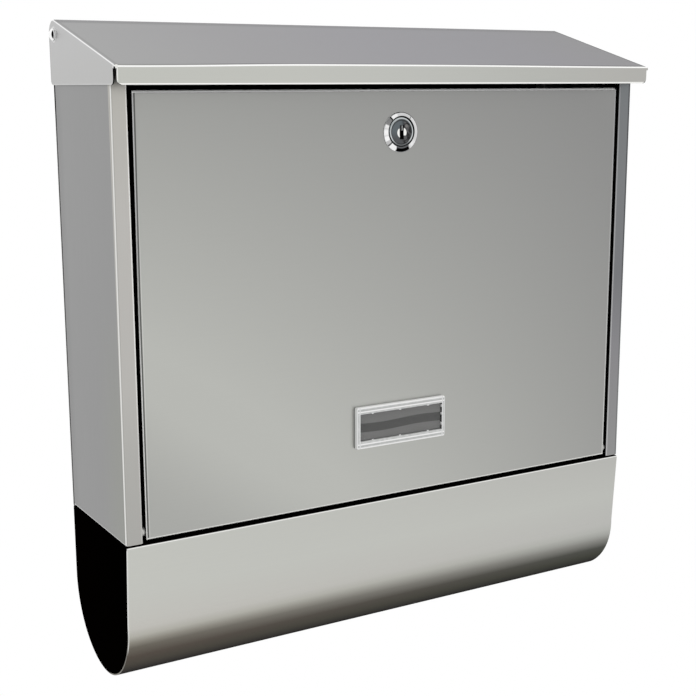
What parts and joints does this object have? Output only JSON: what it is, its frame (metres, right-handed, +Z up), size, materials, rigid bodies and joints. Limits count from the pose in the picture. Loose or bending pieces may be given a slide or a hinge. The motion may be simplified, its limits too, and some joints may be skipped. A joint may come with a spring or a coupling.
{
  "type": "wall mounted mailbox",
  "caption": "Stainless letter box for a wall: sloped rain lid on side pivots, drop-down front door with cam lock and name plate, and an open-ended newspaper tube below.",
  "frame": {"origin": "middle of the four wall screw holes, on the wall's plane", "axes": "+X to the right as seen from the front, +Y into the wall, +Z up"},
  "size_m": [0.375, 0.105, 0.3866],
  "materials": {
    "stainless_sheet": "fine brushed stainless sheet",
    "polished_fasteners": "bright, smooth",
    "soft_pads": "matt black",
    "nylon": "matt natural white",
    "lock_chrome": "polished chrome",
    "plated_steel": "zinc plated",
    "plug_metal": "satin dark nickel",
    "wafer_brass": "plain",
    "clear_plastic": "clear, glossy",
    "dark_card": "matt dark grey",
    "dark_plastic": "matt black"
  },
  "bodies": {
    "housing": {"back_panel": "stainless_sheet", "side_panel_right": "stainless_sheet", "side_panel_left": "stainless_sheet", "floor_tray": "stainless_sheet", "top_rail": "stainless_sheet", "newspaper_tube": "stainless_sheet", "tube_rivets": "polished_fasteners", "lid_pads": "soft_pads", "door_pads": "soft_pads", "door_hinge_pins": "polished_fasteners", "door_hinge_clips": "polished_fasteners", "lid_pivot_rivets": "polished_fasteners", "lid_pivot_washers": "polished_fasteners", "lid_pivot_spacers": "nylon"},
    "lid": {"rain_lid": "stainless_sheet"},
    "door": {"door_panel": "stainless_sheet", "lock_housing": "lock_chrome", "lock_washer": "plated_steel", "lock_nut": "plated_steel", "name_window": "clear_plastic", "name_card": "dark_card", "name_clip": "dark_plastic"},
    "lock": {"lock_plug": "plug_metal", "lock_wafers": "wafer_brass", "lock_cam": "plated_steel", "cam_washer": "plated_steel", "cam_screw": "plated_steel"}
  },
  "joints": [
    {"name": "lid_hinge", "type": "hinge", "parent": "housing", "child": "lid", "pos_m": [0, -0.0096, 0.14515], "axis": [-1, 0, 0], "range_deg": [0, 80]},
    {"name": "door_hinge", "type": "hinge", "parent": "housing", "child": "door", "pos_m": [0, -0.0874, -0.1343], "axis": [1, 0, 0], "range_deg": [0, 114]},
    {"name": "lock_turn", "type": "hinge", "parent": "door", "child": "lock", "pos_m": [0, -0.08, 0.0882], "axis": [0, -1, 0], "range_deg": [0, 90]}
  ]
}
